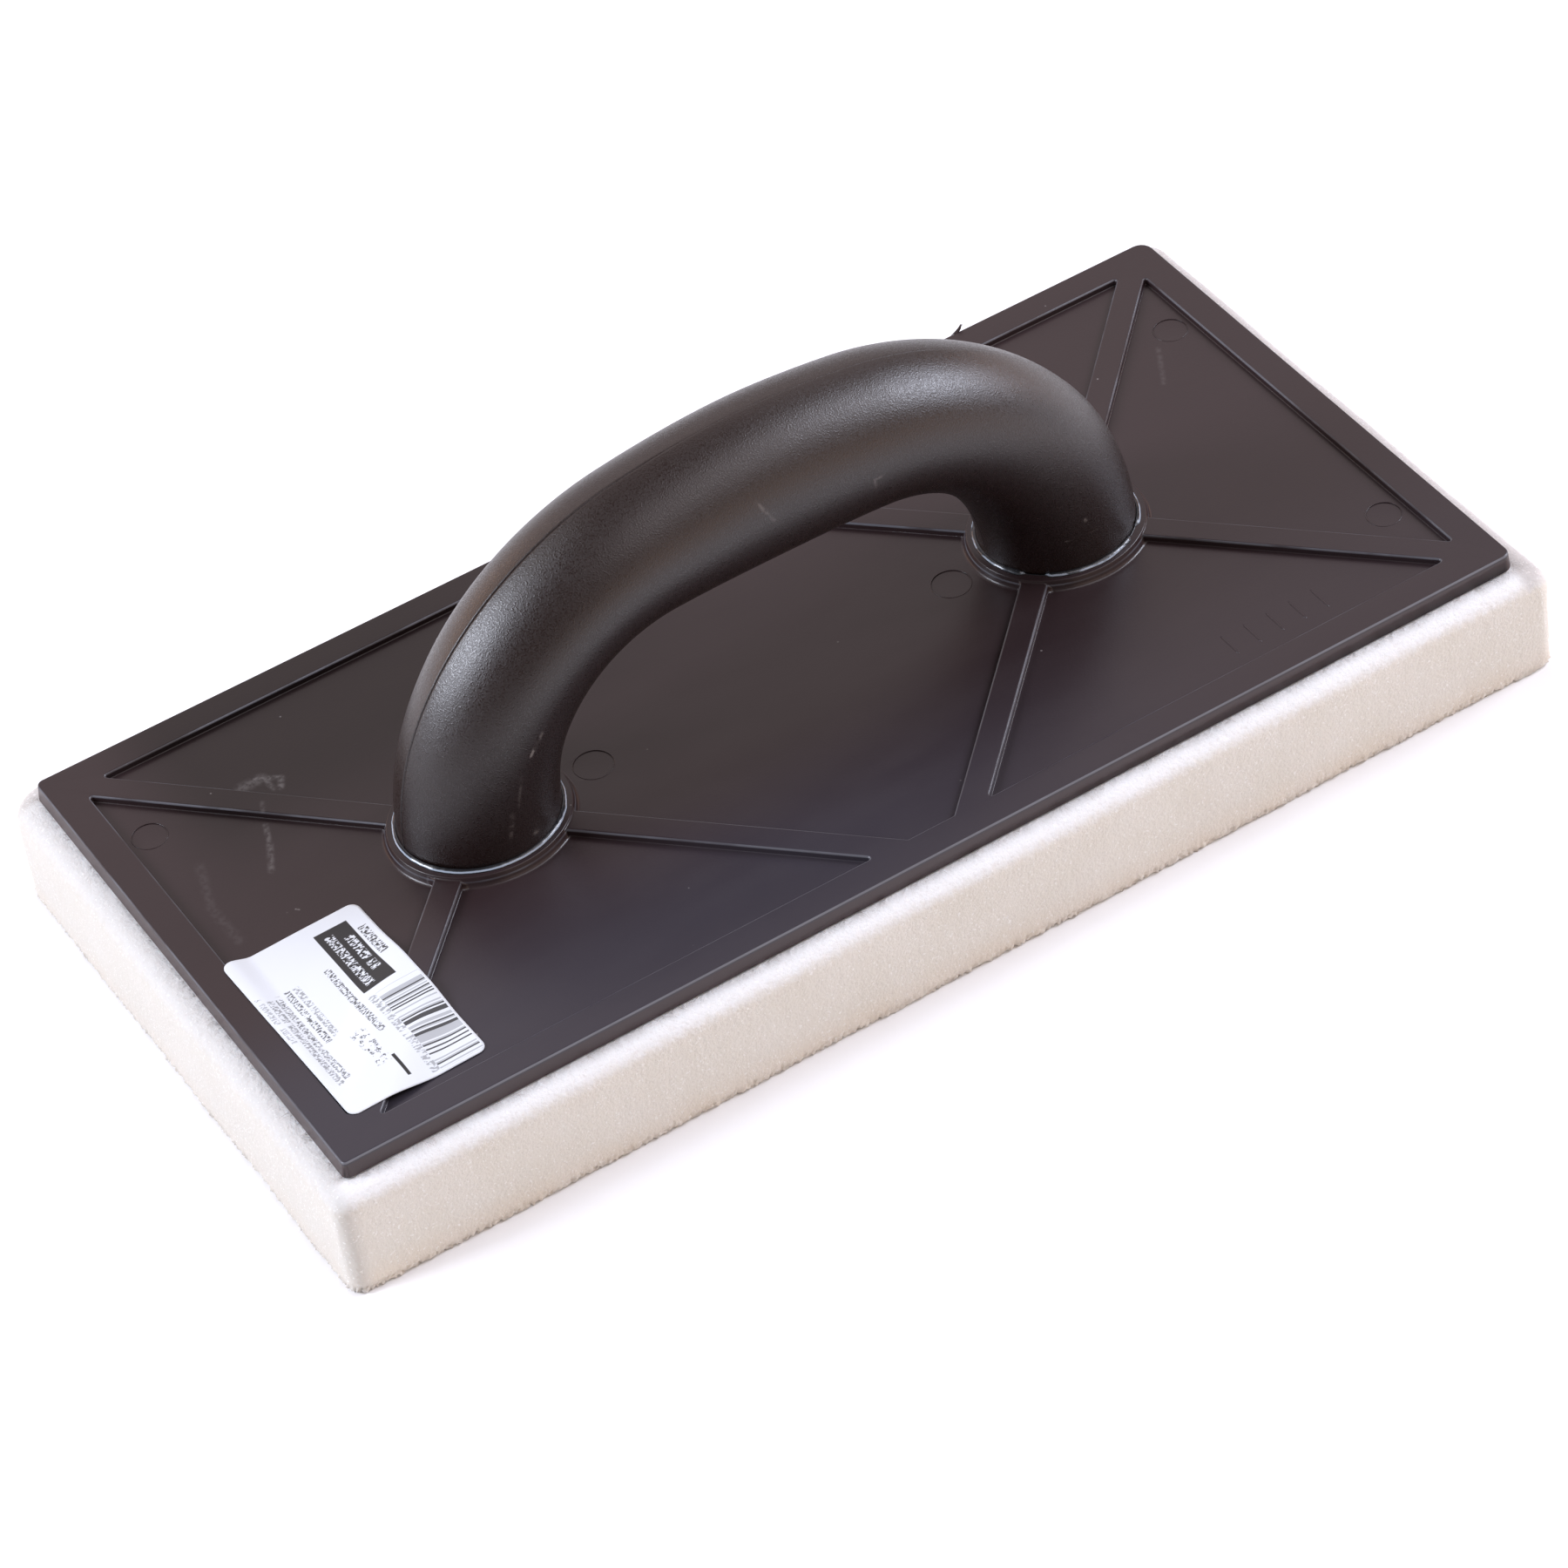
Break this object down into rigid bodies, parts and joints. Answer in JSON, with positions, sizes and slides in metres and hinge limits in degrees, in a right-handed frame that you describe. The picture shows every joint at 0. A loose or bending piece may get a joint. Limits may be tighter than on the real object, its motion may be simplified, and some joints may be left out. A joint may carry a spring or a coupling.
{
  "type": "sponge float",
  "caption": "Plasterer's sponge float: ribbed rectangular plastic plate with a hollow two-part loop handle on its back and a thick foam rubber pad on its face.",
  "frame": {"origin": "centre of the foam pad's flat working face, the lowest plane of the tool", "axes": "+X along the length of the plate, +Y across its width, +Z from the working face up to the handle"},
  "size_m": [0.282, 0.142, 0.0959],
  "materials": {
    "foam_rubber": "matt cut foam",
    "adhesive": "matt contact adhesive",
    "plate_plastic": "satin moulded black plastic",
    "handle_plastic": "fine grained black plastic with a satin sheen",
    "cement": "glossy solvent cement",
    "label_paper": "coated paper"
  },
  "bodies": {
    "root": {"foam_pad": "foam_rubber", "adhesive_film": "adhesive", "base_plate": "plate_plastic", "handle_shell_front": "handle_plastic", "handle_shell_back": "handle_plastic", "cement_bead_left": "cement", "cement_bead_right": "cement", "label": "label_paper"}
  },
  "joints": []
}
